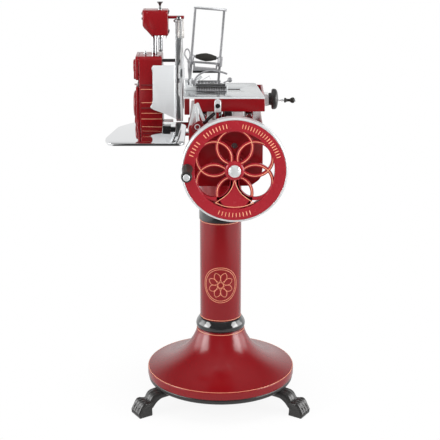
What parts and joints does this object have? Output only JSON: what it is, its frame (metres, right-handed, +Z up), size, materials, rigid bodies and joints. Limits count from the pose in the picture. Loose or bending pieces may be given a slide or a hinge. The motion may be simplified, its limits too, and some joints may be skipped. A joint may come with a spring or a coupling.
{
  "type": "hand crank meat slicer",
  "caption": "Hand-cranked flywheel slicer on a bell-shaped pedestal with paw feet: round knife, sharpener, sliding carriage with screw feed, meat holder and receiving tray.",
  "frame": {"origin": "middle of the object's bounding box in X and Y, on the floor under the feet", "axes": "+Z up, +X to the operator's right along the feed screw, +Y away from the operator along the carriage's travel"},
  "size_m": [0.7296, 0.75, 1.4797],
  "materials": {
    "red_paint": "high gloss enamel",
    "black_paint": "gloss",
    "cast_iron": "semi-gloss black",
    "chrome": "mirror",
    "polished_aluminium": "polished",
    "steel": "machined",
    "bronze": "machined",
    "black_plastic": "gloss",
    "abrasive_stone": "rough"
  },
  "bodies": {
    "stand": {"paw_foot_left": "cast_iron", "paw_foot_right": "cast_iron", "paw_foot_rear": "cast_iron", "base_ring": "black_paint", "pedestal_base": "red_paint", "column_lower_ring": "black_paint", "pedestal_column": "red_paint", "column_upper_ring": "black_paint", "main_frame": "red_paint", "rear_cover": "red_paint", "rail_left": "steel", "rail_right": "steel", "flywheel_bearing": "bronze", "knife_arm": "cast_iron", "knife_housing": "red_paint", "housing_cover": "red_paint", "oil_cap": "steel", "knife_chain": "steel", "knife_cover": "polished_aluminium", "knife_guard": "polished_aluminium", "guard_stay": "chrome", "sharpener_post": "chrome"},
    "wheel": {"flywheel": "red_paint", "flywheel_rim": "chrome", "hub_cap": "chrome", "flywheel_shaft": "steel", "crank_pin": "chrome", "drive_gear": "steel"},
    "grip": {"crank_grip": "black_plastic"},
    "counter": {"counter_shaft": "steel", "bevel_pinion": "steel"},
    "cross": {"cross_shaft": "steel", "bevel_gear": "steel", "crank_arm": "steel", "drive_sprocket": "steel"},
    "knife": {"knife_shaft": "steel", "knife_blade": "chrome", "knife_sprocket": "steel"},
    "carriage": {"carriage_frame": "red_paint", "table_plate": "polished_aluminium", "front_lug": "chrome", "feed_end_block": "chrome"},
    "rod": {"connecting_rod": "steel"},
    "feed": {"feed_screw": "steel", "feed_handwheel": "black_paint"},
    "feed_knob": {"feed_crank_knob": "black_plastic"},
    "holder": {"holder_saddle": "chrome", "spiked_bar": "steel", "rod_frame": "chrome"},
    "press": {"press_frame": "chrome"},
    "press_handle": {"press_grip": "black_plastic"},
    "lever": {"clamp_lever": "chrome"},
    "sharpener": {"sharpener_housing": "red_paint"},
    "stones": {"sharpener_spindle": "black_paint", "sharpener_arm": "red_paint", "grinding_stone": "abrasive_stone", "honing_stone": "abrasive_stone"},
    "deflector": {"slice_deflector": "polished_aluminium"},
    "tray": {"slice_tray": "chrome"},
    "thickness": {"thickness_lever": "chrome"}
  },
  "joints": [
    {"name": "flywheel_spin", "type": "hinge", "parent": "stand", "child": "wheel", "pos_m": [0.08091, -0.2, 0.9545], "axis": [0, 1, 0], "continuous": true},
    {"name": "crank_grip_spin", "type": "hinge", "parent": "wheel", "child": "grip", "pos_m": [-0.08109, -0.31, 0.9645], "axis": [0, 1, 0], "continuous": true},
    {"name": "counter_spin", "type": "hinge", "parent": "stand", "child": "counter", "pos_m": [0.08091, 0, 1.0225], "axis": [0, 1, 0], "continuous": true},
    {"name": "cross_spin", "type": "hinge", "parent": "stand", "child": "cross", "pos_m": [0, 0.16024, 1.0225], "axis": [1, 0, 0], "continuous": true},
    {"name": "knife_spin", "type": "hinge", "parent": "stand", "child": "knife", "pos_m": [-0.15, 0.16024, 1.1905], "axis": [1, 0, 0], "continuous": true},
    {"name": "carriage_slide", "type": "slide", "parent": "stand", "child": "carriage", "axis": [0, 1, 0], "range_m": [0, 0.206]},
    {"name": "connecting_rod_swing", "type": "hinge", "parent": "carriage", "child": "rod", "pos_m": [0.0317, -0.10776, 1.12], "axis": [1, 0, 0], "range_deg": [-45, 16]},
    {"name": "feed_spin", "type": "hinge", "parent": "carriage", "child": "feed", "pos_m": [0.1, 0.01624, 1.1518], "axis": [1, 0, 0], "range_deg": [0, 5400]},
    {"name": "feed_knob_spin", "type": "hinge", "parent": "feed", "child": "feed_knob", "pos_m": [0.28, -0.00576, 1.1518], "axis": [1, 0, 0], "continuous": true},
    {"name": "holder_feed", "type": "slide", "parent": "carriage", "child": "holder", "axis": [1, 0, 0], "range_m": [0, 0.12]},
    {"name": "press_slide", "type": "slide", "parent": "holder", "child": "press", "axis": [0.0802, 0, 0.9968], "range_m": [-0.02, 0.145]},
    {"name": "press_grip_spin", "type": "hinge", "parent": "press", "child": "press_handle", "pos_m": [-0.06996, 0.04224, 1.30161], "axis": [0.9968, 0, -0.0802], "continuous": true},
    {"name": "clamp_lever_swing", "type": "hinge", "parent": "holder", "child": "lever", "pos_m": [-0.08009, 0.01024, 1.2173], "axis": [1, 0, 0], "range_deg": [0, 80]},
    {"name": "sharpener_swing", "type": "hinge", "parent": "stand", "child": "sharpener", "pos_m": [-0.20959, 0.16024, 1.4], "axis": [0, 0, -1], "range_deg": [0, 180]},
    {"name": "sharpener_press", "type": "slide", "parent": "sharpener", "child": "stones", "axis": [0, 0, 1], "range_m": [-0.008, 0], "stiffness_N_per_m": 1500, "springref_m": 0.006},
    {"name": "deflector_swing", "type": "hinge", "parent": "stand", "child": "deflector", "pos_m": [-0.13009, 0.07224, 1.16], "axis": [0, 0, 1], "range_deg": [0, 60]},
    {"name": "tray_slide", "type": "slide", "parent": "stand", "child": "tray", "axis": [-1, 0, 0], "range_m": [0, 0.12]},
    {"name": "thickness_lever_swing", "type": "hinge", "parent": "stand", "child": "thickness", "pos_m": [-0.04109, -0.16, 1.0735], "axis": [0, 1, 0], "range_deg": [-12, 12]}
  ],
  "couplings": [
    {"joint": "counter_spin", "follows": "flywheel_spin", "ratio": -1},
    {"joint": "cross_spin", "follows": "flywheel_spin", "ratio": -1},
    {"joint": "knife_spin", "follows": "flywheel_spin", "ratio": -3},
    {"joint": "holder_feed", "follows": "feed_spin", "m_per_rad": 0.0012732}
  ]
}
